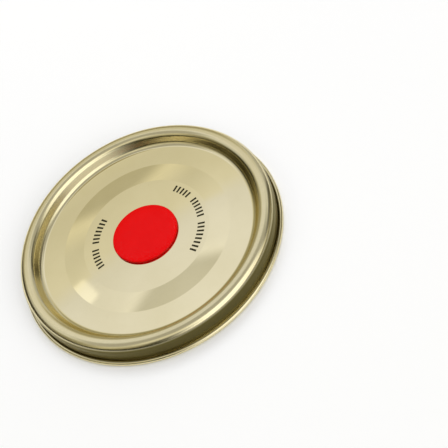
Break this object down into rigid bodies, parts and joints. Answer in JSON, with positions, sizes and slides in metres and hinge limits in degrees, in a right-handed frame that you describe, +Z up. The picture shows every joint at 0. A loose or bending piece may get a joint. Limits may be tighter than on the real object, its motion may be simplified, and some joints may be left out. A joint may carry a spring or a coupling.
{
  "type": "easy open can end",
  "caption": "Round pressed metal lid with a recessed panel, rolled-edge skirt and a soft peel seal over its vent hole: closes a food container and opens by hand.",
  "frame": {"origin": "middle of the ring on which the rolled edge rests, on the lid's axis", "axes": "+Z up along the lid's axis, towards the side with the seal; the lid is round, so X and Y are free"},
  "size_m": [0.0772, 0.0772, 0.0071],
  "materials": {
    "lacquered_tinplate": "glossy clear gold lacquer on tinplate",
    "seal_red": "smooth soft red plastic",
    "sealing_compound": "matt cream sealing compound"
  },
  "bodies": {
    "root": {"lid_shell": "lacquered_tinplate", "peel_seal": "seal_red", "gasket_ring": "sealing_compound"}
  },
  "joints": []
}
